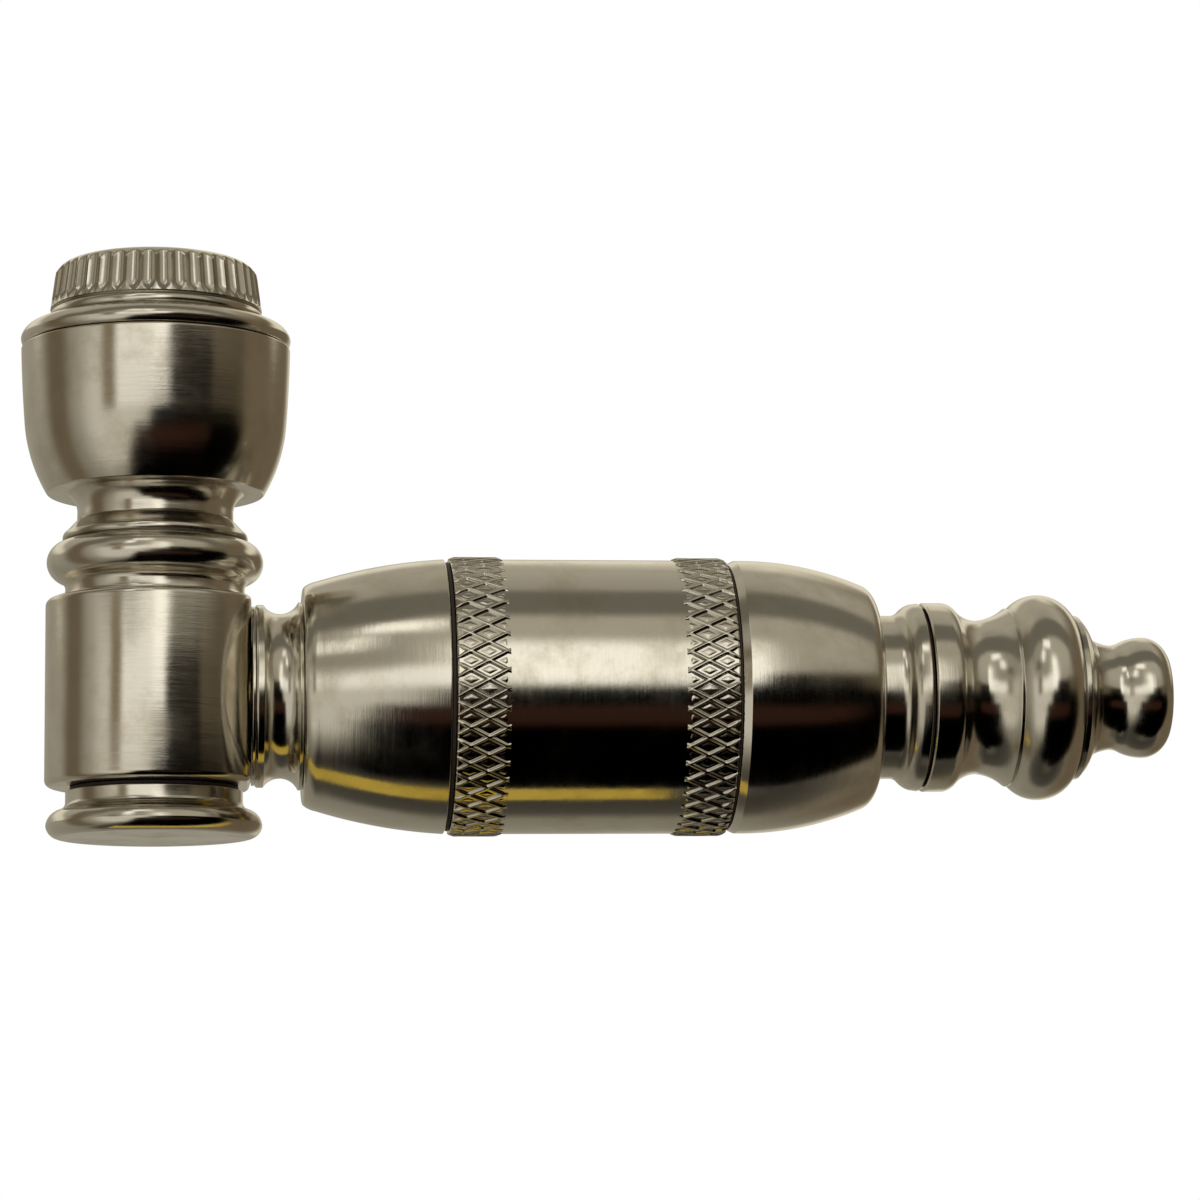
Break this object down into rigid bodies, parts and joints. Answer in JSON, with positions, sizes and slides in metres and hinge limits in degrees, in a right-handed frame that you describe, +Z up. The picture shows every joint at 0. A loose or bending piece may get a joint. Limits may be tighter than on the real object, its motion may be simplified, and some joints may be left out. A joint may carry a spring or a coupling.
{
  "type": "screw-together metal pipe",
  "caption": "Small nickel-plated metal smoking pipe of turned pieces: a lidded bowl on an elbow, a knurled chamber and a beaded mouthpiece, all joined by screw threads.",
  "frame": {"origin": "centre of the foot's flat bottom face, on the bowl's axis", "axes": "+Z up along the bowl's axis; +X along the chamber's axis towards the mouthpiece; the pipe stands on the foot and on the lowest line of the two knurled bands"},
  "size_m": [0.0814, 0.0196, 0.0406],
  "materials": {
    "nickel_plate": "turned and nickel plated, bright with a fine grain, worn warm",
    "bare_brass": "machined, unplated",
    "black_rubber": "matt, moulded"
  },
  "bodies": {
    "elbow": {"elbow": "nickel_plate"},
    "collar": {"collar": "nickel_plate"},
    "bowl": {"bowl": "nickel_plate", "bowl_nipple": "bare_brass", "bowl_screen": "bare_brass"},
    "lid_seal": {"lid_seal": "black_rubber"},
    "lid": {"lid": "nickel_plate"},
    "foot_seal": {"foot_seal": "black_rubber"},
    "foot": {"foot": "nickel_plate"},
    "inlet_washer": {"inlet_washer": "nickel_plate"},
    "inlet": {"inlet_neck": "nickel_plate", "inlet_nipple": "bare_brass", "chamber_cap_left": "nickel_plate"},
    "left_seal": {"seal_left": "black_rubber"},
    "barrel": {"barrel": "nickel_plate"},
    "right_seal": {"seal_right": "black_rubber"},
    "outlet": {"chamber_cap_right": "nickel_plate", "outlet_neck": "nickel_plate", "outlet_nipple": "bare_brass"},
    "mouthpiece_seal": {"mouthpiece_seal": "black_rubber"},
    "mouthpiece": {"mouthpiece": "nickel_plate"}
  },
  "joints": [
    {"name": "bowl_travel", "type": "slide", "parent": "elbow", "child": "collar", "axis": [0, 0, 1], "range_m": [0, 0.0025]},
    {"name": "bowl_turn", "type": "hinge", "parent": "collar", "child": "bowl", "pos_m": [0, 0, 0.0222], "axis": [0, 0, 1], "range_deg": [0, 900]},
    {"name": "lid_travel", "type": "slide", "parent": "bowl", "child": "lid_seal", "axis": [0, 0, 1], "range_m": [0, 0.0025]},
    {"name": "lid_turn", "type": "hinge", "parent": "lid_seal", "child": "lid", "pos_m": [0, 0, 0.0347], "axis": [0, 0, 1], "range_deg": [0, 900]},
    {"name": "foot_travel", "type": "slide", "parent": "elbow", "child": "foot_seal", "axis": [0, 0, -1], "range_m": [0, 0.0025]},
    {"name": "foot_turn", "type": "hinge", "parent": "foot_seal", "child": "foot", "pos_m": [0, 0, 0.00322], "axis": [0, 0, -1], "range_deg": [0, 900]},
    {"name": "inlet_travel", "type": "slide", "parent": "elbow", "child": "inlet_washer", "axis": [1, 0, 0], "range_m": [0, 0.003]},
    {"name": "inlet_turn", "type": "hinge", "parent": "inlet_washer", "child": "inlet", "pos_m": [0.00697, 0, 0.00995], "axis": [1, 0, 0], "range_deg": [0, 1080]},
    {"name": "barrel_travel", "type": "slide", "parent": "inlet", "child": "left_seal", "axis": [1, 0, 0], "range_m": [0, 0.0035]},
    {"name": "barrel_turn", "type": "hinge", "parent": "left_seal", "child": "barrel", "pos_m": [0.02101, 0, 0.00995], "axis": [1, 0, 0], "range_deg": [0, 1260]},
    {"name": "outlet_travel", "type": "slide", "parent": "barrel", "child": "right_seal", "axis": [1, 0, 0], "range_m": [0, 0.0035]},
    {"name": "outlet_turn", "type": "hinge", "parent": "right_seal", "child": "outlet", "pos_m": [0.04077, 0, 0.00995], "axis": [1, 0, 0], "range_deg": [0, 1260]},
    {"name": "mouthpiece_travel", "type": "slide", "parent": "outlet", "child": "mouthpiece_seal", "axis": [1, 0, 0], "range_m": [0, 0.0035]},
    {"name": "mouthpiece_turn", "type": "hinge", "parent": "mouthpiece_seal", "child": "mouthpiece", "pos_m": [0.0545, 0, 0.00995], "axis": [1, 0, 0], "range_deg": [0, 1260]}
  ],
  "couplings": [
    {"joint": "bowl_travel", "follows": "bowl_turn", "m_per_rad": 0.00015915},
    {"joint": "lid_travel", "follows": "lid_turn", "m_per_rad": 0.00015915},
    {"joint": "foot_travel", "follows": "foot_turn", "m_per_rad": 0.00015915},
    {"joint": "inlet_travel", "follows": "inlet_turn", "m_per_rad": 0.00015915},
    {"joint": "barrel_travel", "follows": "barrel_turn", "m_per_rad": 0.00015915},
    {"joint": "outlet_travel", "follows": "outlet_turn", "m_per_rad": 0.00015915},
    {"joint": "mouthpiece_travel", "follows": "mouthpiece_turn", "m_per_rad": 0.00015915}
  ]
}
